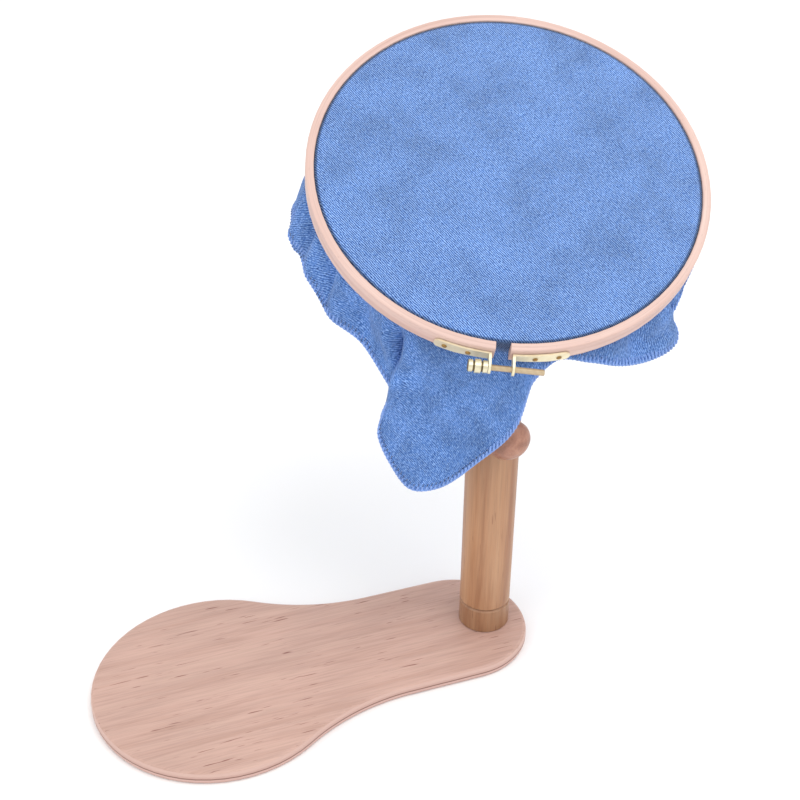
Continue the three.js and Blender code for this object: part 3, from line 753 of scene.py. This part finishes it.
class HemLine:
    """The hem as a closed line, with the threads that end on it."""

    def __init__(self, columns):
        self.threads = [[place for place, _ in column] for _, column in columns]
        self.starts = [0.0]
        for thread, following in zip(self.threads, self.threads[1:] + self.threads[:1]):
            self.starts.append(self.starts[-1] + (following[-1] - thread[-1]).length)
        self.length = self.starts[-1]

    def point(self, distance, inset):
        """The point a distance round the hem and an inset back from it."""
        distance %= self.length
        count = len(self.threads)
        index = next(i for i in range(count) if self.starts[i + 1] >= distance)
        gap = self.starts[index + 1] - self.starts[index]
        here = inset_point(self.threads[index], inset)
        there = inset_point(self.threads[(index + 1) % count], inset)
        return here.lerp(there, (distance - self.starts[index]) / max(TINY, gap))


def add_stitch(hem, distance, verts, faces):
    """A stitch on each side of the cloth, from the edge inwards."""
    edge = hem.point(distance, 0.0)
    ahead = hem.point(distance + AHEAD, 0.0)
    reach = STITCH_LENGTH * (0.9 + 0.2 * noise.noise(edge * 900))
    inner = hem.point(distance + STITCH_SLANT, reach)
    half = hem.point(distance + STITCH_SLANT / 2, STITCH_LENGTH / 2)
    inward = (inner - edge).normalized()
    normal = inward.cross(ahead - edge).normalized()
    radii = [YARN_RADIUS * size for size in (0.95, 1.0, 1.05, 0.9, 0.5)]
    for side in (1, -1):
        lift = normal * side * (CLOTH_THICKNESS / 2 + YARN_RADIUS * 0.35)
        path = [
            edge - inward * YARN_RADIUS * 0.4,
            edge + lift * 0.9,
            half + lift * 1.05,
            inner + lift * 0.6,
            inner + inward * STITCH_TAIL,
        ]
        add_tube(path, radii, verts, faces)


def build_hem(columns):
    """Short yarn stitches over both sides of the hem, and the yarn that links them at the edge."""
    hem = HemLine(columns)
    verts, faces = [], []
    for number in range(int(hem.length / STITCH_PITCH)):
        add_stitch(hem, number * STITCH_PITCH, verts, faces)
    links = int(hem.length / LINK_LENGTH)
    border = [hem.point(hem.length * step / links, LINK_INSET) for step in range(links)]
    for ends in zip(border, border[1:] + border[:1]):
        add_tube(ends, [YARN_RADIUS * 1.05] * 2, verts, faces)
    piece = add_mesh("hem_stitches", verts, faces)
    piece.data.shade_smooth()
    piece.data.update()
    return piece


# ---- room ---------------------------------------------------------------------------------------


# The camera that was fitted to the photograph: its place, its axes and its lens (mm)
CAMERA_PLACE = (-0.12467, -0.68263, 0.66223)
CAMERA_RIGHT = Vector((0.94126, -0.33764, 0.00529))
CAMERA_DOWN = Vector((-0.1765, -0.50527, -0.84472))
CAMERA_FORWARD = Vector((0.28789, 0.79417, -0.53518))
CAMERA_LENS = 61.99
CAMERA_SENSOR = 36
CAMERA_SHIFT = (0.0121, 0.0066)

FLOOR_HALF = 6.0
LIGHTS_AIM = (POST_X, 0, 0.2)


def add_camera():
    """The camera at the photograph's viewing angle."""
    data = bpy.data.cameras.new("camera")
    data.lens = CAMERA_LENS
    data.sensor_width = CAMERA_SENSOR
    data.shift_x, data.shift_y = CAMERA_SHIFT
    data.clip_start = 0.01
    camera = bpy.data.objects.new("camera", data)
    axes = Matrix((CAMERA_RIGHT, -CAMERA_DOWN, -CAMERA_FORWARD)).transposed().to_4x4()
    camera.matrix_world = Matrix.Translation(CAMERA_PLACE) @ axes
    bpy.context.scene.collection.objects.link(camera)
    bpy.context.scene.camera = camera


def add_light(name, place, size, power):
    """A round soft white light aimed at the object."""
    data = bpy.data.lights.new(name, "AREA")
    data.shape = "DISK"
    data.size = size
    data.energy = power
    light = bpy.data.objects.new(name, data)
    direction = Vector(LIGHTS_AIM) - Vector(place)
    turn = direction.to_track_quat("-Z", "Y").to_matrix().to_4x4()
    light.matrix_world = Matrix.Translation(place) @ turn
    bpy.context.scene.collection.objects.link(light)


def add_room():
    """A plain pale floor and soft studio light."""
    signs = ((-1, -1), (1, -1), (1, 1), (-1, 1))
    corners = [(x * FLOOR_HALF, y * FLOOR_HALF, 0) for x, y in signs]
    floor = add_mesh("floor", corners, [(0, 1, 2, 3)])
    look = Look("floor_paper", 0.9)
    look.colour(look.ramp(look.noise(look.place(), 3.0), (0.3, 0.94), (0.7, 0.96)))
    floor.data.materials.append(look.material)
    world = bpy.data.worlds.new("studio")
    world.use_nodes = True
    background = world.node_tree.nodes["Background"]
    background.inputs["Color"].default_value = (1, 1, 1, 1)
    background.inputs["Strength"].default_value = 1.0
    bpy.context.scene.world = world
    bpy.context.scene.view_settings.view_transform = "Standard"
    add_light("key", (0.9, -0.8, 2.2), size=2.2, power=20)
    add_light("fill", (-1.3, -0.6, 1.2), size=1.4, power=5)


# ---- put it together ----------------------------------------------------------------------------


def dress_wood():
    """Materials for the wooden CAD nodes."""
    paint(base_look(), "base_board")
    paint(post_look("post_wood", 0.2), "post")
    paint(post_look("collar_wood", 0.5, tone=0.90), "foot_collar")
    paint(knob_look(), "clamp_knob")
    paint(post_look("dowel_wood", 0.8, tone=1.04), "stem", "tilt_head", "roll_peg", "ring_foot")
    outer_woods = srgb(222, 193, 182), srgb(214, 182, 171), srgb(204, 170, 158)
    inner_woods = srgb(232, 206, 190), srgb(222, 192, 174), srgb(206, 172, 150)
    paint(ring_look("outer_ring_wood", 0.0, *outer_woods), "outer_ring")
    paint(ring_look("inner_ring_wood", 0.7, *inner_woods), "inner_ring")


def dress_metal():
    """Materials for the metal CAD nodes."""
    brass = metal_look("brass", srgb(238, 228, 196), srgb(222, 206, 164), 0.38, metallic=0.55)
    paint(brass, "bracket_left", "bracket_right", "tilt_wing_nut", "knob_insert")
    paint(brass, "foot_screw_left", "foot_screw_right")
    pins = [f"bracket_pin_{number}" for number in range(1, 5)]
    paint(metal_look("pin_brass", srgb(176, 140, 84), srgb(104, 76, 44), 0.4), *pins)
    paint(grip_look(), "tension_grip")
    rod = thread_look("copper_thread", srgb(222, 206, 174), srgb(160, 128, 96), 0.7 * MM, 0.34)
    paint(rod, "tension_rod")
    steel = metal_look("zinc_steel", srgb(196, 198, 202), srgb(150, 152, 158), 0.32)
    paint(steel, "base_screw", "knob_screw", "tilt_bolt", "tilt_washer_head", "tilt_washer_nut")
    paint(steel, "peg_washer", "peg_screw")


def add_cloth():
    """The cloth and its stitches, in place of the CAD cloth nodes, which are hidden."""
    columns = cloth_columns()
    cloth = build_cloth(columns)
    cloth.data.materials.append(twill_look("blue_twill").material)
    thicken = cloth.modifiers.new("thickness", "SOLIDIFY")
    thicken.thickness = CLOTH_THICKNESS
    thicken.offset = 0
    apply_modifiers(cloth)
    hem = build_hem(columns)
    hem.data.materials.append(stitch_look().material)
    for piece in (cloth, hem):
        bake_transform(piece)
    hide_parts("cloth_panel", "cloth_band", "cloth_skirt")


add_camera()
add_room()
dress_wood()
dress_metal()
add_cloth()

bpy.context.view_layer.update()
